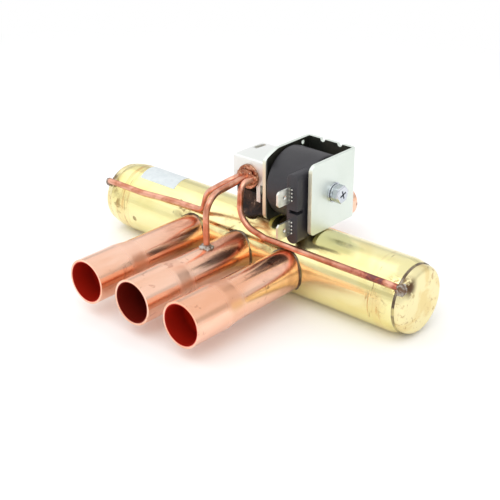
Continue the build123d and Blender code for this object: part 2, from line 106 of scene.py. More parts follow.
class Amount:
    """One number that changes over a surface."""

    def __init__(self, maker, socket):
        self.maker = maker
        self.socket = socket

    def math(self, operation, first, second):
        made = self.maker.node("ShaderNodeMath", {"operation": operation}, {0: first, 1: second})
        return Amount(self.maker, made.outputs[0])

    def __add__(self, other):
        return self.math("ADD", self, other)

    __radd__ = __add__

    def __sub__(self, other):
        return self.math("SUBTRACT", self, other)

    def __rsub__(self, other):
        return self.math("SUBTRACT", other, self)

    def __mul__(self, other):
        return self.math("MULTIPLY", self, other)

    __rmul__ = __mul__

    def __pow__(self, other):
        return self.math("POWER", self, other)

    def size(self):
        return self.math("ABSOLUTE", self, 0.0)

    def most(self, other):
        return self.math("MAXIMUM", self, other)

    @staticmethod
    def largest(amounts):
        total = amounts[0]
        for amount in amounts[1:]:
            total = total.most(amount)
        return total

    def between(self, low, high, out_low=0.0, out_high=1.0):
        made = self.maker.node(
            "ShaderNodeMapRange",
            {"interpolation_type": "SMOOTHSTEP", "clamp": True},
            {0: self, 1: low, 2: high, 3: out_low, 4: out_high},
        )
        return Amount(self.maker, made.outputs[0])


class NodeMaker:
    """A node tree, and the one way its nodes are made."""

    def __init__(self, tree):
        self.tree = tree

    def node(self, kind, settings=None, sockets=None):
        made = self.tree.nodes.new(kind)
        for key, value in (settings or {}).items():
            if key == "stops":
                for element, (position, colour) in zip(made.color_ramp.elements, value):
                    element.position, element.color = position, colour
            else:
                setattr(made, key, value)
        for key, value in (sockets or {}).items():
            self.feed(made.inputs[key], value)
        return made

    def feed(self, socket, value):
        value = value.socket if isinstance(value, Amount) else value
        if isinstance(value, bpy.types.NodeSocket):
            self.tree.links.new(value, socket)
        else:
            socket.default_value = value

    def mix(self, mask, first, second):
        """The colour mix keeps its colour sockets after those for numbers and vectors."""
        made = self.node("ShaderNodeMix", {"data_type": "RGBA"}, {0: mask, 6: first, 7: second})
        return made.outputs[2]


class Finish(NodeMaker):
    """A material of the valve, with the patterns that its finish is worked out from."""

    def __init__(self, name, colour, roughness=0.4, metallic=0.0, **constants):
        self.material = bpy.data.materials.new(name)
        self.material.use_nodes = True
        super().__init__(self.material.node_tree)
        self.surface = self.tree.nodes["Principled BSDF"]
        self.put("Base Color", colour)
        self.put("Roughness", roughness)
        self.put("Metallic", metallic)
        for socket, value in constants.items():
            self.put(socket.replace("_", " "), value)
        self.place = self.node("ShaderNodeTexCoord").outputs["Object"]

    def put(self, name, value):
        self.feed(self.surface.inputs[name], value)

    def grain(self, scale, detail=3.0, rough=0.55, stretch=(1, 1, 1), warp=0.0):
        placed = self.node("ShaderNodeMapping", {}, {"Vector": self.place, "Scale": stretch})
        made = self.node(
            "ShaderNodeTexNoise",
            {"noise_dimensions": "3D"},
            {"Vector": placed.outputs[0], "Scale": scale, "Detail": detail,
             "Roughness": rough, "Distortion": warp},
        )
        return Amount(self, made.outputs["Fac"])

    def axes(self):
        made = self.node("ShaderNodeSeparateXYZ", {}, {0: self.place})
        return [Amount(self, out) for out in made.outputs]

    def from_point(self, point, stretch=(1, 1, 1)):
        shifted = self.node("ShaderNodeVectorMath", {"operation": "SUBTRACT"},
                            {0: self.place, 1: tuple(point)})
        scaled = self.node("ShaderNodeVectorMath", {"operation": "MULTIPLY"},
                           {0: shifted.outputs[0], 1: stretch})
        made = self.node("ShaderNodeVectorMath", {"operation": "LENGTH"}, {0: scaled.outputs[0]})
        return Amount(self, made.outputs["Value"])

    def bumps(self, height, strength, distance=0.0002):
        made = self.node("ShaderNodeBump", {},
                         {"Height": height, "Strength": strength, "Distance": distance})
        self.put("Normal", made.outputs[0])


def speckle(finish, scale, threshold, softness=0.03):
    spots = finish.node("ShaderNodeTexVoronoi", {"feature": "F1"},
                        {"Vector": finish.place, "Scale": scale})
    distance = Amount(finish, spots.outputs["Distance"])
    return distance.between(threshold, threshold + softness, 1.0, 0.0)


def drawn_brass():
    brass = Finish("drawn_brass", tint(244, 235, 172), 0.2, 1.0)
    x = brass.axes()[0]
    fine = brass.grain(400, 4, 0.6)
    along = brass.grain(22, 4, 0.6, stretch=(0.6, 2.5, 2.5))
    cloud = brass.grain(55, 5, 0.6, warp=0.6).between(0.46, 0.70)
    colour = brass.mix(along.between(0.35, 0.7), tint(248, 239, 184), tint(238, 227, 156))
    colour = brass.mix(cloud * 0.35, colour, tint(230, 206, 126))
    # heat stains where the stubs, the foot and the capillaries were brazed on
    burnt = Amount.largest([
        brass.from_point(point).between(reach * 0.2, reach, 1.0, 0.0)
        for point, reach in stain_points()
    ])
    patchy = brass.grain(260, 5, 0.65, warp=1.2).between(0.50, 0.62)
    stain = burnt * patchy
    colour = brass.mix(burnt * 0.22, colour, tint(204, 164, 92))
    colour = brass.mix(stain * 0.6, colour, tint(120, 84, 48))
    # flux has run round the tube in thin drips beside each brazed end
    from_middle = x.size()
    beside_end = (from_middle - (body_half - 8.5 * MM)).size()
    beside_end = beside_end.between(1.0 * MM, 5.0 * MM, 1.0, 0.0)
    drips = brass.grain(120, 3, 0.55, stretch=(5, 0.42, 0.42), warp=0.3).between(0.52, 0.62)
    drips = drips * beside_end * brass.grain(36, 2).between(0.44, 0.56)
    wash = beside_end * brass.grain(30, 3, stretch=(2.4, 0.6, 0.6)).between(0.44, 0.60)
    colour = brass.mix(wash * 0.35, colour, tint(232, 188, 116))
    colour = brass.mix(drips * 0.85, colour, tint(198, 128, 60))
    # the end of each cap's spigot shows as a broken line
    wander = brass.grain(60, 3, 0.6) * 3.0 * MM - 1.5 * MM
    line = (from_middle - (body_half - 9.5 * MM) + wander).size()
    line = line.between(0.06 * MM, 0.3 * MM, 1.0, 0.0)
    line = line * brass.grain(140, 3, 0.6).between(0.48, 0.55)
    colour = brass.mix(line * 0.6, colour, tint(140, 104, 64))
    shoulder = from_middle.between(body_half - 4.0 * MM, body_half - 0.5 * MM)
    colour = brass.mix(shoulder * cloud * 0.5, colour, tint(196, 176, 96))
    spots = speckle(brass, 95, 0.10) * brass.grain(40, 2).between(0.54, 0.60)
    colour = brass.mix(spots * 0.7, colour, tint(120, 92, 48))
    smudge = brass.from_point(flux_smudge(), (0.6, 1, 1.2)).between(1.0 * MM, 2.4 * MM, 1.0, 0.0)
    colour = brass.mix(smudge * patchy.most(0.3) * 0.9, colour, tint(74, 68, 58))
    brass.put("Base Color", colour)
    brass.put("Roughness", 0.15 + fine * 0.10 + stain * 0.35 + drips * 0.12 + spots * 0.2)
    brass.bumps(fine + stain * 1.5 + drips * 0.6, 0.10, 0.00008)
    return brass.material


def flux_smudge():
    """A dark smudge of flux beside the first stub's root."""
    turn = math.radians(27)   # up from the stubs' side, round the tube
    return (stub_x["stub_evaporator"] - 8.5 * MM, body_axis.y - body_radius * math.cos(turn),
            body_axis.z + body_radius * math.sin(turn))


def stain_points():
    """The places where the torch has stained the tube, each with its reach."""
    y, z, r = body_axis.y, body_axis.z, body_radius
    points = []
    for x in stub_x.values():
        points.append(((x - 6 * MM, y - 0.86 * r, z + 0.56 * r), 6 * MM))
    foot = middle("pilot_foot")
    points.append(((foot.x + 2 * MM, y - 0.45 * r, z + 0.9 * r), 9 * MM))
    points.append(((foot.x - 3 * MM, y - 0.2 * r, z + 0.95 * r), 6 * MM))
    for side in (-1, 1):
        points.append(((side * (body_half - 1 * MM), y - 0.8 * r, z + 0.6 * r), 7 * MM))
        points.append(((side * (body_half - 7 * MM), y - 0.95 * r, z + 0.1 * r), 7 * MM))
    return points


def cap_brass():
    brass = Finish("cap_brass", tint(240, 234, 184), 0.3, 1.0)
    fine = brass.grain(300, 4, 0.6)
    cloud = brass.grain(90, 5, 0.6, warp=0.8).between(0.47, 0.66)
    colour = brass.mix(cloud * 0.6, tint(243, 231, 180), tint(228, 200, 130))
    grit = brass.grain(480, 3, 0.7).between(0.55, 0.64) * brass.grain(80, 3).between(0.42, 0.56)
    colour = brass.mix(grit * 0.6, colour, tint(180, 138, 84))
    burnt = Amount.largest([
        brass.from_point(smear, (0.7, 1, 0.8)).between(0.8 * MM, 5.0 * MM, 1.0, 0.0)
        for smear in cap_smears()
    ])
    patchy = brass.grain(220, 5, 0.65, warp=1.0).between(0.34, 0.50)
    colour = brass.mix(burnt * patchy * 0.95, colour, tint(88, 56, 40))
    spots = speckle(brass, 150, 0.12) * brass.grain(70, 2).between(0.50, 0.56)
    colour = brass.mix(spots * 0.5, colour, tint(170, 140, 84))
    brass.put("Base Color", colour)
    brass.put("Roughness", 0.24 + fine * 0.16 + burnt * 0.25)
    brass.bumps(fine + burnt * patchy * 2.0, 0.15, 0.0001)
    return brass.material


def cap_smears():
    """The places where the torch has marked each cap, just inside of its capillary."""
    y, z, r = body_axis.y, body_axis.z, body_radius
    return [(side * (body_half + 3.2 * MM), y - 0.56 * r, z + 0.60 * r) for side in (-1, 1)]


def heated_brass():
    brass = Finish("heated_brass", tint(196, 140, 108), 0.3, 1.0)
    scale = brass.grain(360, 5, 0.65, warp=0.9)
    colour = brass.mix(scale.between(0.40, 0.60), tint(216, 162, 132), tint(150, 88, 62))
    # the pale flecks are painted glints
    colour = brass.mix(scale.between(0.60, 0.68), colour, tint(226, 214, 204))
    brass.put("Base Color", colour)
    brass.put("Roughness", 0.24 + scale * 0.3)
    brass.bumps(scale, 0.35, 0.0002)
    return brass.material


def dark_braze(name, first, second):
    """A thin, dull line of filler that lets the metal beside it show through."""
    braze = Finish(name, first, 0.45, 1.0)
    lumps = braze.grain(300, 5, 0.7, warp=0.8)
    patch = braze.grain(90, 3, 0.6)
    colour = braze.mix(lumps.between(0.40, 0.62), first, second)
    colour = braze.mix(patch.between(0.54, 0.64) * 0.8, colour, tint(214, 200, 140))
    braze.put("Base Color", colour)
    braze.put("Roughness", 0.34 + lumps * 0.3)
    braze.bumps(lumps, 0.4, 0.0002)
    return braze.material


def pipe_copper(name, x0, socket_inside, shank_inside, socket_end, joint, into, glow=1.0):
    """A stub: pink outside, tarnished towards its brazed root, and down the bore a painted deep
    red for the light reflected between its copper walls.
    """
    copper = Finish("copper_" + name, tint(250, 206, 182), 0.16, 1.0)
    x, y, z = copper.axes()
    reach = ((x - x0) ** 2.0 + z ** 2.0) ** 0.5
    depth = (y - socket_end) * into
    bore = reach.between(socket_inside, socket_inside + 0.25 * MM, 1.0, 0.0)
    narrow = reach.between(shank_inside, shank_inside + 0.4 * MM, 1.0, 0.0)
    inside = narrow.most(bore * depth.between(-1.0 * MM, 0.0, 1.0, 0.0))
    fine = copper.grain(420, 4, 0.6)
    streak = copper.grain(60, 4, 0.6, stretch=(1, 0.22, 1), warp=0.3)
    colour = copper.mix(streak.between(0.38, 0.70), tint(254, 211, 187), tint(244, 184, 150))
    root = ((y - joint) * into).between(-30 * MM, -2 * MM, 0.0, 1.0)
    tarnish = root * copper.grain(70, 5, 0.65, stretch=(1, 0.35, 1), warp=0.9).between(0.46, 0.66)
    colour = copper.mix(root * 0.25, colour, tint(226, 150, 116))
    colour = copper.mix(tarnish * 0.65, colour, tint(160, 84, 60))
    blot = copper.grain(150, 4, 0.6, warp=1.4).between(0.64, 0.68)
    spots = speckle(copper, 120, 0.09) * copper.grain(50, 2).between(0.47, 0.53)
    colour = copper.mix(blot * 0.35, colour, tint(178, 100, 74))
    colour = copper.mix(spots * 0.7, colour, tint(112, 64, 50))
    # painted light down the bore: the red darkens deeper in as painted shade; where glow is 1 a
    # bright red ring is a painted glow, and where glow is 0 the whole bore gets painted shade
    deep = depth.between(-17 * MM, 6 * MM, 0.0, 1.0)
    throat = copper.mix(deep, tint(196, 38, 18), tint(150, 26, 14))
    ring = (depth + 6.0 * MM).size().between(0.6 * MM, 3.4 * MM, 1.0, 0.0)
    throat = copper.mix(ring * 0.9 * glow, throat, tint(255, 58, 26))
    throat = copper.mix(0.55 * (1 - glow), throat, tint(60, 24, 16))
    colour = copper.mix(inside, colour, throat)
    copper.put("Base Color", colour)
    flared = (depth - 3.0 * MM).size().between(2.0 * MM, 6.5 * MM, 1.0, 0.0)
    copper.put("Roughness", 0.15 + fine * 0.08 + tarnish * 0.12 + inside * 0.24 + flared * 0.2)
    copper.put("Metallic", 1.0 - inside * 0.45)
    copper.bumps(fine + blot * 0.6, 0.10, 0.00008)
    return copper.material


def thin_copper():
    copper = Finish("thin_copper", tint(216, 158, 132), 0.3, 1.0)
    fine = copper.grain(520, 4, 0.6)
    patch = copper.grain(120, 4, 0.6, warp=0.8)
    colour = copper.mix(patch.between(0.36, 0.62), tint(230, 174, 150), tint(196, 126, 98))
    colour = copper.mix(patch.between(0.60, 0.72) * 0.7, colour, tint(142, 82, 62))
    x = copper.axes()[0]
    heated = x.between(40 * MM, 66 * MM) * copper.grain(150, 3, 0.6).between(0.38, 0.52)
    colour = copper.mix(heated * 0.75, colour, tint(158, 70, 56))
    colour = copper.mix(heated * patch.between(0.5, 0.6) * 0.7, colour, tint(104, 78, 86))
    copper.put("Base Color", colour)
    copper.put("Roughness", 0.26 + fine * 0.14)
    copper.bumps(fine, 0.10, 0.00005)
    return copper.material


def silver_braze():
    braze = Finish("silver_braze", tint(150, 138, 124), 0.42, 1.0)
    lumps = braze.grain(380, 5, 0.7, warp=0.8)
    colour = braze.mix(lumps.between(0.40, 0.62), tint(120, 96, 78), tint(196, 192, 186))
    braze.put("Base Color", colour)
    braze.put("Roughness", 0.3 + lumps * 0.3)
    braze.bumps(lumps, 0.5, 0.00025)
    return braze.material


def bright_zinc(name, colour, edge_colour, dull, shaded=None):
    """Zinc plate; shaded gives the x and y limits within which painted shade darkens it."""
    zinc = Finish(name, colour, dull, 0.85)
    x, y = zinc.axes()[:2]
    fine = zinc.grain(500, 4, 0.6)
    bloom = zinc.grain(45, 4, 0.6, warp=0.5).between(0.36, 0.66)
    mixed = zinc.mix(bloom * 0.5, colour, tint(232, 238, 232))
    rim = y.between(yoke_low[1], yoke_low[1] + 0.5 * MM, 1.0, 0.0)
    mixed = zinc.mix(rim * 0.8, mixed, edge_colour)
    if shaded:
        # painted shade: inside the yoke, between its cheeks, the zinc is painted dark grey-green
        # for the shade there and the black coil it reflects
        low, high = shaded
        blend = 0.1 * MM
        inner = x.between(low[0], low[0] + blend) * x.between(high[0] - blend, high[0], 1.0, 0.0)
        inner = inner * y.between(high[1] - blend, high[1], 1.0, 0.0)
        inner = inner * y.between(low[1] + 0.2 * MM, low[1] + 1.2 * MM)
        shade_mottle = zinc.grain(120, 4, 0.6)
        dark = zinc.mix(shade_mottle.between(0.4, 0.62), tint(74, 77, 70), tint(98, 96, 84))
        mixed = zinc.mix(inner, mixed, dark)
    zinc.put("Base Color", mixed)
    zinc.put("Roughness", dull + fine * 0.12)
    zinc.bumps(fine, 0.06, 0.00005)
    return zinc.material


def coil_black():
    black = Finish("coil_black", tint(52, 50, 54), 0.42, 0.0, Specular_IOR_Level=0.45)
    z = black.axes()[2]
    fine = black.grain(900, 3, 0.6)
    cloud = black.grain(60, 4, 0.6)
    foot = z.between(moulding_low[2], moulding_low[2] + 12 * MM, 1.0, 0.0)
    colour = black.mix(cloud.between(0.4, 0.65), tint(52, 51, 56), tint(44, 43, 47))
    colour = black.mix(foot * 0.35, colour, tint(70, 56, 50))
    black.put("Base Color", colour)
    black.put("Roughness", 0.36 + fine * 0.16)
    black.bumps(fine, 0.12, 0.00006)
    return black.material


def plain_metal(name, first, second, roughness, scale=300):
    metal = Finish(name, first, roughness, 1.0)
    fine = metal.grain(scale, 4, 0.6)
    metal.put("Base Color", metal.mix(fine.between(0.35, 0.65), first, second))
    metal.put("Roughness", roughness + fine * 0.12)
    metal.bumps(fine, 0.08, 0.00005)
    return metal.material


def plain_plastic(name, first, second, roughness):
    plastic = Finish(name, first, roughness, 0.0)
    fine = plastic.grain(500, 3, 0.6)
    plastic.put("Base Color", plastic.mix(fine.between(0.35, 0.65), first, second))
    plastic.put("Roughness", roughness + fine * 0.1)
    plastic.bumps(fine, 0.06, 0.00005)
    return plastic.material


def scorched_steel_and_shade():
    # black scorched steel; on the pilot foot's left ear the black is partly painted shade,
    # standing in for the shade inside the guard
    steel = Finish("scorched_steel_and_shade", tint(44, 38, 36), 0.5, 0.6)
    scale = steel.grain(320, 5, 0.7, warp=0.8)
    colour = steel.mix(scale.between(0.42, 0.60), tint(38, 33, 32), tint(74, 56, 48))
    # the pale flecks are painted glints
    colour = steel.mix(scale.between(0.64, 0.70), colour, tint(170, 150, 132))
    steel.put("Base Color", colour)
    steel.put("Roughness", 0.34 + scale * 0.35)
    steel.bumps(scale, 0.5, 0.0002)
    return steel.material


def blank_film():
    film = Finish("blank_film", tint(214, 220, 226), 0.5, 0.0)
    fine = film.grain(300, 3, 0.6)
    film.put("Base Color", film.mix(fine.between(0.35, 0.65),
                                    tint(215, 222, 224), tint(206, 214, 217)))
    film.put("Roughness", 0.42 + fine * 0.12)
    film.bumps(fine, 0.08, 0.00005)
    return film.material


brass_finish = drawn_brass()
cap_finish = cap_brass()
capillary_finish = thin_copper()
braze_finish = silver_braze()
seam_finish = dark_braze("dark_seam", tint(148, 136, 120), tint(100, 86, 70))
joint_finish = dark_braze("stub_joint", tint(138, 128, 112), tint(92, 76, 60))
heated_finish = heated_brass()
# the limits of the painted shade inside the yoke, between its cheeks
between_cheeks = (
    (yoke_low[0] + YOKE_SHEET - 0.1 * MM, yoke_low[1]),
    (yoke_high[0] - YOKE_SHEET + 0.1 * MM, yoke_high[1] - YOKE_SHEET + 0.1 * MM),
)
zinc_finish = bright_zinc("bright_zinc", tint(222, 230, 222), tint(236, 232, 205), 0.34,
                          between_cheeks)
guard_finish = bright_zinc("pale_zinc", tint(241, 241, 240), tint(230, 230, 227), 0.42)
moulding_finish = coil_black()
tin_finish = plain_metal("tin_plate", tint(226, 226, 220), tint(204, 204, 196), 0.28)
screw_finish = plain_metal("screw_zinc", tint(214, 218, 224), tint(184, 190, 200), 0.2)
steel_finish = plain_metal("sheet_steel", tint(176, 178, 180), tint(150, 152, 154), 0.34)
iron_finish = plain_metal("core_iron", tint(150, 150, 152), tint(126, 126, 128), 0.3)
turned_brass_finish = plain_metal("turned_brass", tint(226, 196, 116), tint(202, 166, 88), 0.26)
black_finish = scorched_steel_and_shade()
nylon_finish = plain_plastic("slide_nylon", tint(226, 220, 204), tint(210, 204, 188), 0.4)
ptfe_finish = plain_plastic("ptfe", tint(236, 236, 232), tint(226, 226, 222), 0.45)
bobbin_finish = plain_plastic("bobbin_nylon", tint(60, 58, 56), tint(48, 46, 45), 0.45)
winding_finish = plain_metal("winding_copper", tint(190, 104, 64), tint(150, 74, 44), 0.3)
film_finish = blank_film()
recess_finish = plain_metal("cross_recess", tint(70, 74, 84), tint(54, 58, 66), 0.5)

finish_of = {}
for finish, names in (
    (brass_finish, "body_tube"),
    (cap_finish, "end_cap_left end_cap_right"),
    (turned_brass_finish, "valve_seat pilot_body piston_left piston_right"),
    (heated_finish, "pilot_seat"),
    (nylon_finish, "slide_block pilot_slide"),
    (ptfe_finish, "piston_cup_left piston_cup_right"),
    (steel_finish, "connecting_bar cup_retainer_left cup_retainer_right piston_screws"),
    (steel_finish, "slide_carrier slide_spring plunger_spring plunger_tube"),
    (iron_finish, "plunger fixed_core"),
    # the pilot foot is black scorched steel; its left ear's black is partly painted shade from
    # inside the guard
    (black_finish, "pilot_foot"),
    (guard_finish, "pilot_guard"),
    (zinc_finish, "coil_yoke"),
    (moulding_finish, "coil_moulding"),
    (bobbin_finish, "coil_bobbin"),
    (winding_finish, "coil_winding"),
    (tin_finish, "terminal_upper terminal_lower"),
    (screw_finish, "coil_screw spring_washer"),
    (seam_finish, "cap_braze_left cap_braze_right"),
    (joint_finish, "braze_evaporator braze_suction braze_condenser braze_discharge"),
    (braze_finish, "braze_pilot_ports"),
):
    for name in names.split():
        finish_of[name] = finish
for end in ("left", "right", "suction", "discharge"):
    finish_of["capillary_" + end] = capillary_finish
    finish_of["braze_capillary_" + end] = braze_finish

# just outside of each stub's two bores: the wide socket, and the shank behind it
socket_inside, shank_inside = 8.15 * MM, 7.35 * MM
for name, x0 in stub_x.items():
    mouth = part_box(name)[0][1]
    # the middle stub's bore gets painted shade in place of the painted glowing ring
    glow = 0.0 if name == "stub_suction" else 1.0
    finish_of[name] = pipe_copper(name, x0, socket_inside, shank_inside, mouth + socket_length,
                                  body_axis.y - body_radius, 1.0, glow)
rear_socket_inside, rear_shank_inside, rear_socket_length = 6.55 * MM, 5.65 * MM, 12 * MM
rear_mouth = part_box("stub_discharge")[1][1]
finish_of["stub_discharge"] = pipe_copper(
    "stub_discharge", 0.0, rear_socket_inside, rear_shank_inside,
    rear_mouth - rear_socket_length, body_axis.y + body_radius, -1.0)

for name, piece in nodes.items():
    for holder in piece.material_slots:
        holder.material = finish_of[name]


# ------------------------------------------------------------------ pieces made here

def finished(name, work, finish, stands_for=(), sharp=35):
    """Makes a piece of the valve's body from a bmesh, smooth up to an angle of sharp degrees."""
    mesh = bpy.data.meshes.new(name)
    work.to_mesh(mesh)
    work.free()
    for face in mesh.polygons:
        face.use_smooth = True
    mesh.set_sharp_from_angle(angle=math.radians(sharp))
    piece = bpy.data.objects.new(name, mesh)
    bpy.context.scene.collection.objects.link(piece)
    piece.data.materials.append(finish)
    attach(piece, "valve")
    if stands_for:
        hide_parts(*stands_for)
    return piece


def merged_copy(node):
    """A copy of a node's own shape, with its loose triangles joined."""
    work = bmesh.new()
    work.from_mesh(nodes[node].data)
    bmesh.ops.remove_doubles(work, verts=work.verts, dist=0.001 * MM)
    return work


def rounded(work, parts, width, steps, affect="EDGES"):
    """Rounds off the given edges, or corners where affect says VERTICES."""
    bmesh.ops.bevel(work, geom=parts, offset=width, affect=affect, segments=steps,
                    profile=0.5, material=-1)


def add_block(work, place, size):
    """Adds a rectangular block, with its middle at a point or turned by a matrix."""
    place = Matrix.Translation(place) if isinstance(place, Vector) else place
    bmesh.ops.create_cube(work, size=1.0, matrix=place @ Matrix.Diagonal((*size, 1)))


def spun(work, outline, axis_point):
    """Turns an outline of (x, radius) points into a closed solid round the X axis."""
    points = [work.verts.new((x, axis_point.y, axis_point.z + radius)) for x, radius in outline]
    edges = [work.edges.new(pair) for pair in zip(points, points[1:])]
    bmesh.ops.spin(work, geom=points + edges, cent=axis_point, axis=(1, 0, 0),
                   angle=math.tau, steps=96, use_merge=True)
    bmesh.ops.remove_doubles(work, verts=work.verts, dist=0.001 * MM)
    bmesh.ops.recalc_face_normals(work, faces=work.faces)


def neck_radius(x):
    """How far the tube's surface stands from its axis, near the drawn-in ends."""
    depth = max(0.0, (abs(x) - body_half + NECK_LENGTH) / NECK_LENGTH)
    return body_radius - NECK_DROP * depth ** 2.2


def necked_tube():
    """The body tube with both ends drawn in over their caps."""
    work = merged_copy("body_tube")
    rings = 11
    for side in (-1, 1):
        for step in range(rings):
            cut = side * (body_half - NECK_LENGTH * step / rings - 0.3 * MM)
            bmesh.ops.bisect_plane(work, geom=work.verts[:] + work.edges[:] + work.faces[:],
                                   plane_co=(cut, 0, 0), plane_no=(1, 0, 0))
    for vert in work.verts:
        shrink = neck_radius(vert.co.x) / body_radius
        vert.co.y = body_axis.y + (vert.co.y - body_axis.y) * shrink
        vert.co.z = body_axis.z + (vert.co.z - body_axis.z) * shrink
    finished("necked_tube", work, brass_finish, ("body_tube",))


def cap_disc(side, node):
    """A cap's face, smaller than the tube and rounded at its edge."""
    low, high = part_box(node)
    face = max(abs(low[0]), abs(high[0]))
    rounding, steps = 2.4 * MM, 8
    back, crown = side * (body_half - 1.0 * MM), side * (face + 0.05 * MM)
    outline = [(back, 0.0), (back, DISC_RADIUS)]
    for step in range(steps + 1):
        turn = math.radians(90 - step * 90 / steps)
        outline.append((side * (face - rounding + rounding * math.cos(turn)),
                        DISC_RADIUS - rounding + rounding * math.sin(turn)))
    outline += [(crown, DISC_RADIUS * 0.45), (crown, 0.0)]
    work = bmesh.new()
    spun(work, outline, body_axis)
    finished(node + "_disc", work, cap_finish, (node,))


def cap_seam(side, node):
    """The line of braze between the tube's end and the cap: dark on the right, in the cap's own
    brass on the left.
    """
    inner, outer = DISC_RADIUS - 0.5 * MM, neck_radius(body_half) + 0.16 * MM
    back, front = body_half - 0.35 * MM, body_half + 0.8 * MM
    outline = [(back, inner), (back, outer - 0.10 * MM), (body_half - 0.05 * MM, outer),
               (body_half + 0.3 * MM, outer - 0.04 * MM),
               (body_half + 0.75 * MM, DISC_RADIUS + 0.05 * MM), (front, inner), (back, inner)]
    ring = bmesh.new()
    spun(ring, [(side * x, radius) for x, radius in outline], body_axis)
    finish = seam_finish if side > 0 else cap_finish
    finished(node + "_seam", ring, finish, (node,))


def thin_joint(node, stub):
    """The braze round a stub's root, drawn in to a thin uneven line."""
    work = merged_copy(node)
    centre = Vector((middle(stub).x, 0, body_axis.z))
    reaches = [math.hypot(vert.co.x - centre.x, vert.co.z - centre.z) for vert in work.verts]
    shank = min(reaches)
    for vert, reach in zip(work.verts, reaches):
        uneven = 0.5 + 0.35 * noise.noise(vert.co / (2.0 * MM))
        narrow = (shank + (reach - shank) * uneven) / reach
        vert.co.x = centre.x + (vert.co.x - centre.x) * narrow
        vert.co.z = centre.z + (vert.co.z - centre.z) * narrow
        off_axis = Vector((0, vert.co.y - body_axis.y, vert.co.z - body_axis.z))
        low = (body_radius + (off_axis.length - body_radius) * 0.6) / off_axis.length
        vert.co.y = body_axis.y + off_axis.y * low
        vert.co.z = body_axis.z + off_axis.z * low
    finished(node + "_line", work, joint_finish, (node,))


def coil_case():
    """The moulded coil: a plain drum and the narrow upright block of its terminals."""
    low, high = moulding_low, moulding_high
    work = bmesh.new()
    left, right, radius = low[0] + 0.7 * MM, high[0] - 1.3 * MM, 14.15 * MM
    centre = Vector(((left + right) / 2, coil_axis.y - 0.7 * MM, coil_axis.z - 0.2 * MM))
    turn = Matrix.Translation(centre) @ Matrix.Rotation(math.radians(90), 4, "Y")
    bmesh.ops.create_cone(work, cap_ends=True, segments=128, radius1=radius,
                          radius2=radius, depth=right - left, matrix=turn)
    rims = [edge for edge in work.edges if max(len(face.verts) for face in edge.link_faces) > 4]
    rounded(work, rims, 0.9 * MM, 4)
    block = bmesh.new()
    depth = middle("coil_moulding").y - low[1]
    width, tall = 5.4 * MM, high[2] - low[2] - 3.0 * MM
    place = Vector((low[0] + 14.1 * MM + width / 2, low[1] + depth / 2, low[2] + tall / 2))
    add_block(block, place, (width, depth, tall))
    ends = [edge for edge in block.edges
            if abs(edge.verts[0].co.y - edge.verts[1].co.y) > depth / 2]
    rounded(block, ends, width / 2 - 0.1 * MM, 10)
    front = [edge for edge in block.edges
             if all(vert.co.y < low[1] + 0.01 * MM for vert in edge.verts)]
    rounded(block, front, 0.35 * MM, 3)
    work.from_mesh(with_groove(block, place, width, low[1]))
    finished("coil_case", work, moulding_finish, ("coil_moulding",))


def with_groove(block, place, width, front):
    """Cuts the short groove between the two terminals round the block's right corner."""
    cutter = bmesh.new()
    corner = Vector((place.x + width / 2, front + 1.0 * MM, place.z - 1.0 * MM))
    add_block(cutter, corner, (8.0 * MM, 5.6 * MM, 1.4 * MM))
    helpers = []
    for name, work in (("terminal_block", block), ("groove", cutter)):
        mesh = bpy.data.meshes.new(name)
        work.to_mesh(mesh)
        work.free()
        helpers.append(bpy.data.objects.new(name, mesh))
        bpy.context.scene.collection.objects.link(helpers[-1])
    body, tool = helpers
    groove = body.modifiers.new("groove", "BOOLEAN")
    groove.object = tool
    groove.solver = "EXACT"
    ready = body.evaluated_get(bpy.context.evaluated_depsgraph_get())
    carved = bpy.data.meshes.new_from_object(ready)
    for helper in helpers:
        bpy.data.objects.remove(helper)
    return carved


def hexagon_screw():
    """The coil screw's head: a hexagon with a crowned end and a cross in it."""
    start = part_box("spring_washer")[1][0] + 0.75 * MM
    tall, reach = 2.8 * MM, 3.8 * MM
    centre = Vector((start + tall / 2, coil_axis.y, coil_axis.z))
    turn = Matrix.Rotation(math.radians(90), 4, "Y") @ Matrix.Rotation(math.radians(12), 4, "Z")
    work = bmesh.new()
    bmesh.ops.create_cone(work, cap_ends=True, segments=6, radius1=reach, radius2=reach,
                          depth=tall, matrix=Matrix.Translation(centre) @ turn)
    rim = [edge for edge in work.edges if all(vert.co.x > centre.x for vert in edge.verts)]
    rounded(work, rim, 0.55 * MM, 3)
    corners = [edge for edge in work.edges
               if abs(edge.verts[0].co.x - edge.verts[1].co.x) > tall / 2]
    rounded(work, corners, 0.3 * MM, 2)
    end = max(work.faces, key=lambda face: face.calc_center_median().x)
    bmesh.ops.inset_region(work, faces=[end], thickness=0.5 * MM, depth=0.0)
    finished("hexagon_screw", work, screw_finish, ("coil_screw",), 30)
    for name, angle in (("cross_slot_a", 20), ("cross_slot_b", 110)):
        bar = bmesh.new()
        place = (Matrix.Translation(Vector((start + tall - 0.4 * MM, coil_axis.y, coil_axis.z)))
                 @ Matrix.Rotation(math.radians(angle), 4, "X"))
        add_block(bar, place, (0.9 * MM, 0.75 * MM, 3.6 * MM))
        rounded(bar, bar.edges[:], 0.1 * MM, 2)
        finished(name, bar, recess_finish)


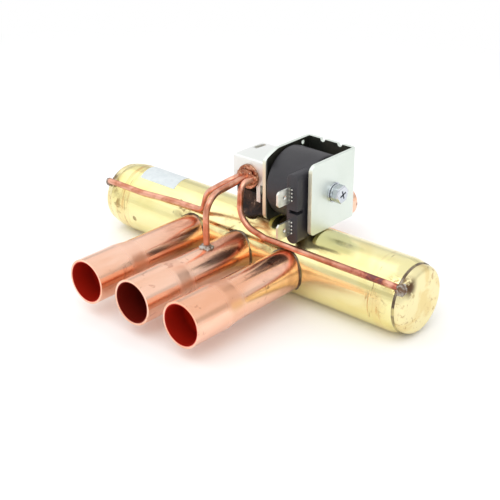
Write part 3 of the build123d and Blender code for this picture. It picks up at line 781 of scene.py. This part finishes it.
def washer_pair():
    """A flat washer and a spring washer under the screw's head."""
    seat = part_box("spring_washer")[0][0]
    hole, ease = 2.1 * MM, 0.12 * MM
    work = bmesh.new()
    for start, thick, reach in ((0.0, 0.7 * MM, 4.0 * MM), (0.85 * MM, 0.85 * MM, 3.55 * MM)):
        first, last = seat + start, seat + start + thick
        ring = bmesh.new()
        spun(ring, [(first, hole), (first, reach - ease), (first + ease, reach),
                    (last - ease, reach), (last, reach - ease), (last, hole),
                    (first, hole)], coil_axis)
        shape = bpy.data.meshes.new("washer")
        ring.to_mesh(shape)
        ring.free()
        work.from_mesh(shape)
    finished("washer_pair", work, screw_finish, ("spring_washer",), 30)


def plunger_coils():
    """The return spring, which shortens as the coil pulls the plunger in; here it is copied at
    full length, with a mesh of its own.
    """
    low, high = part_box("plunger_spring")
    stroke = next(joint["range_m"][1] for joint in frame["record"]["behaviour"]["joints"]
                  if joint["name"] == "pilot_slide")
    work = merged_copy("plunger_spring")
    piece = finished("plunger_coils", work, steel_finish,
                     ("plunger_spring",), 60)
    1 - stroke / (high[0] - low[0])
    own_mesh(piece)


def foot_apron():
    """The blackened skirt of the pilot valve's foot, flaring forward on to the body."""
    low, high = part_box("pilot_foot")
    left, right = low[0] + 3.0 * MM, high[0] + 1.5 * MM
    mid = (left + right) / 2
    top = Vector((0, low[1], high[2] - 0.3 * MM))
    reach = body_radius + 0.15 * MM
    work = bmesh.new()
    bmesh.ops.create_grid(work, x_segments=12, y_segments=10, size=0.5)
    for vert in work.verts:
        across, down = vert.co.x + 0.5, 0.5 - vert.co.y
        foot_y = body_axis.y - (4.0 + 3.1 * math.sin(math.pi * min(1, across * 1.15) ** 1.3)) * MM
        foot_z = body_axis.z + math.sqrt(reach ** 2 - (foot_y - body_axis.y) ** 2)
        knee = Vector((0, top.y - 0.2 * MM, foot_z + 1.0 * MM))
        foot = Vector((0, foot_y, foot_z))
        spot = top.lerp(knee, down).lerp(knee.lerp(foot, down), down)
        flare = 1 + 0.12 * down
        spot.x = mid + (left - mid + across * (right - left)) * flare
        vert.co = spot + Vector((0, -0.35 * MM * noise.noise(spot / (2.2 * MM)), 0))
    bmesh.ops.recalc_face_normals(work, faces=work.faces)
    bmesh.ops.solidify(work, geom=work.faces[:], thickness=0.9 * MM)
    finished("foot_apron", work, black_finish)


def blank_label():
    """A thin blank film bent round the top of the body."""
    low, high = math.radians(63.5), math.radians(119.5)   # from the stubs' side, over the top
    start, length, skew = -67.2 * MM, 20.8 * MM, 3.6 * MM
    reach = body_radius + 0.06 * MM
    work = bmesh.new()
    bmesh.ops.create_grid(work, x_segments=8, y_segments=24, size=0.5)
    corners = [vert for vert in work.verts if len(vert.link_edges) == 2]
    rounded(work, corners, 0.05, 3, "VERTICES")
    for vert in work.verts:
        along, round_it = vert.co.x + 0.5, vert.co.y + 0.5
        angle = low + round_it * (high - low)
        vert.co = Vector((start + along * length + (1 - round_it) * skew,
                          body_axis.y - reach * math.cos(angle),
                          body_axis.z + reach * math.sin(angle)))
    bmesh.ops.recalc_face_normals(work, faces=work.faces)
    if sum(face.normal.z for face in work.faces) < 0:
        bmesh.ops.reverse_faces(work, faces=work.faces)
    bmesh.ops.solidify(work, geom=work.faces[:], thickness=0.05 * MM)
    finished("blank_label", work, film_finish)


def lump(name, centre, size, seed, rough, stands_for, finish):
    """A drop of braze that has run and set."""
    work = bmesh.new()
    bmesh.ops.create_icosphere(work, subdivisions=4, radius=1.0)
    for vert in work.verts:
        swell = 1 + rough * noise.noise(vert.co * 1.6 + Vector((seed, seed * 0.7, 0)))
        swell += rough * 0.4 * noise.noise(vert.co * 4.5 + Vector((seed, 3, seed)))
        vert.co = Vector((vert.co.x * size[0], vert.co.y * size[1], vert.co.z * size[2])) * swell
    bmesh.ops.translate(work, verts=work.verts, vec=centre)
    finished(name, work, finish, (stands_for,), 180)


def terminal_rivets():
    """The row of small bright points where each blade leaves the moulding."""
    beads, pitch, size = 4, 1.5 * MM, 0.4 * MM
    for name in ("terminal_upper", "terminal_lower"):
        low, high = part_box(name)
        place = Vector((high[0] + 0.55 * MM, moulding_low[1] - 0.05 * MM, low[2] + 0.9 * MM))
        work = bmesh.new()
        for step in range(beads):
            bead = bmesh.ops.create_icosphere(work, subdivisions=2, radius=size)["verts"]
            bmesh.ops.translate(work, verts=bead, vec=place + Vector((0, 0, step * pitch)))
        finished(name + "_points", work, tin_finish)


necked_tube()
for side, end in ((-1, "left"), (1, "right")):
    cap_disc(side, "end_cap_" + end)
    cap_seam(side, "cap_braze_" + end)
    entry = middle("braze_capillary_" + end)
    girth = 1.0 if side > 0 else 0.72
    lump("cap_entry_braze_" + end, entry - Vector((side * 0.1 * MM, 0, 0.4 * MM)),
         (2.2 * MM * girth, 1.9 * MM * girth, 2.4 * MM * girth), 5.0 + side, 0.3,
         "braze_capillary_" + end, braze_finish)
for end in ("evaporator", "suction", "condenser"):
    thin_joint("braze_" + end, "stub_" + end)
coil_case()
washer_pair()
hexagon_screw()
plunger_coils()
foot_apron()
blank_label()
terminal_rivets()
ports = middle("braze_pilot_ports")
lump("pilot_port_braze", ports + Vector((0, 0.2 * MM, 0)),
     (4.6 * MM, 1.0 * MM, 3.2 * MM), 3.1, 0.35, "braze_pilot_ports", heated_finish)
tap = middle("braze_capillary_suction")
lump("suction_tap_braze", tap - Vector((0, 0, 0.6 * MM)),
     (2.9 * MM, 2.6 * MM, 1.2 * MM), 7.4, 0.35, "braze_capillary_suction", braze_finish)


# ------------------------------------------------------------------ stage, light and camera

def stage_piece(name, work, surface_of):
    """A piece of the set, which isn't part of the valve."""
    mesh = bpy.data.meshes.new(name)
    work.to_mesh(mesh)
    work.free()
    made = bpy.data.objects.new(name, mesh)
    bpy.context.scene.collection.objects.link(made)
    material = bpy.data.materials.new(name + "_colour")
    material.use_nodes = True
    surface_of(NodeMaker(material.node_tree))
    mesh.materials.append(material)
    made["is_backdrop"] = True
    return made


def white_paper(maker):
    """White paper that fades to plain white away from the valve."""
    paper = maker.tree.nodes["Principled BSDF"]
    maker.feed(paper.inputs["Base Color"], (0.97, 0.97, 0.97, 1))
    maker.feed(paper.inputs["Roughness"], 0.9)
    plain = maker.node("ShaderNodeEmission")
    place = maker.node("ShaderNodeTexCoord")
    reach = maker.node("ShaderNodeVectorMath", {"operation": "LENGTH"},
                       {0: place.outputs["Object"]})
    fade = Amount(maker, reach.outputs["Value"]).between(0.22, 0.45)
    shown = maker.node("ShaderNodeMixShader", {}, {
        0: fade * background_seen(maker), 1: paper.outputs[0], 2: plain.outputs[0]})
    maker.feed(maker.tree.nodes["Material Output"].inputs["Surface"], shown.outputs[0])


def background_seen(maker):
    """1 for the rays that see the background: camera, glossy and transmission."""
    paths = maker.node("ShaderNodeLightPath")
    return Amount.largest([
        Amount(maker, paths.outputs["Is " + kind + " Ray"])
        for kind in ("Camera", "Glossy", "Transmission")
    ])


def grey_card(maker):
    maker.tree.nodes.remove(maker.tree.nodes["Principled BSDF"])
    card = maker.node("ShaderNodeEmission", {}, {"Color": (0.72, 0.72, 0.72, 1)})
    maker.feed(maker.tree.nodes["Material Output"].inputs["Surface"], card.outputs[0])


def floor():
    work = bmesh.new()
    bmesh.ops.create_grid(work, x_segments=1, y_segments=1, size=6.0)
    paper = stage_piece("floor", work, white_paper)
    paper.location.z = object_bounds()[0].z - 0.02 * MM


def card_ring():
    """A ring of grey card round the set, which only the polished metal shows."""
    radius, tall, height = 2.0, 0.62, 0.56
    work = bmesh.new()
    bmesh.ops.create_cone(work, cap_ends=False, segments=64, radius1=radius, radius2=radius,
                          depth=tall)
    bmesh.ops.translate(work, verts=work.verts, vec=(0, 0, height))
    ring = stage_piece("card_ring", work, grey_card)
    ring.visible_camera = False
    ring.visible_diffuse = False
    ring.visible_shadow = False
    ring.visible_transmission = False


def area_light(name, place, aim, size, power):
    lamp = bpy.data.lights.new(name, "AREA")
    lamp.shape = "SQUARE"
    lamp.size = size
    lamp.energy = power
    made = bpy.data.objects.new(name, lamp)
    made.location = place
    made.rotation_mode = "QUATERNION"
    made.rotation_quaternion = (aim - made.location).to_track_quat("-Z", "Y")
    bpy.context.scene.collection.objects.link(made)


def room_light():
    """A room that is a little darker below, and that shows as plain white."""
    world = bpy.data.worlds.new("white_room")
    bpy.context.scene.world = world
    world.use_nodes = True
    maker = NodeMaker(world.node_tree)
    place = maker.node("ShaderNodeTexCoord")
    parts = maker.node("ShaderNodeSeparateXYZ", {}, {0: place.outputs["Generated"]})
    stops = ((0.0, (0.78, 0.78, 0.78, 1)), (0.5, (0.96, 0.96, 0.96, 1)))
    ramp = maker.node("ShaderNodeValToRGB", {"stops": stops}, {0: parts.outputs[2]})
    back = maker.tree.nodes["Background"]
    maker.feed(back.inputs["Color"],
               maker.mix(background_seen(maker), ramp.outputs[0], WHITE))
    maker.feed(back.inputs["Strength"], 1.0)


def camera():
    azimuth, elevation, roll = math.radians(41.79), math.radians(25.76), math.radians(-0.24)
    back = Vector((math.sin(azimuth) * math.cos(elevation),
                   -math.cos(azimuth) * math.cos(elevation), math.sin(elevation)))
    aim = body_axis + Vector((-30.0, 27.67, -23.92)) * MM
    distance = 510.56 * MM
    lens = bpy.data.cameras.new("camera")
    lens.sensor_width = 36.0
    lens.lens = 80.8416
    lens.clip_start = 0.01
    lens.clip_end = 20.0
    made = bpy.data.objects.new("camera", lens)
    made.location = aim + back * distance
    made.rotation_mode = "QUATERNION"
    facing = (-back).to_track_quat("-Z", "Y")
    made.rotation_quaternion = facing @ Matrix.Rotation(roll, 3, "Z").to_quaternion()
    bpy.context.scene.collection.objects.link(made)
    bpy.context.scene.camera = made


floor()
card_ring()
room_light()
area_light("key", (0.5, -0.7, 1.1), body_axis, 1.2, 6.3)
area_light("fill", (-0.9, -0.3, 0.9), body_axis, 1.8, 4)
camera()
bpy.context.scene.view_settings.view_transform = "Standard"
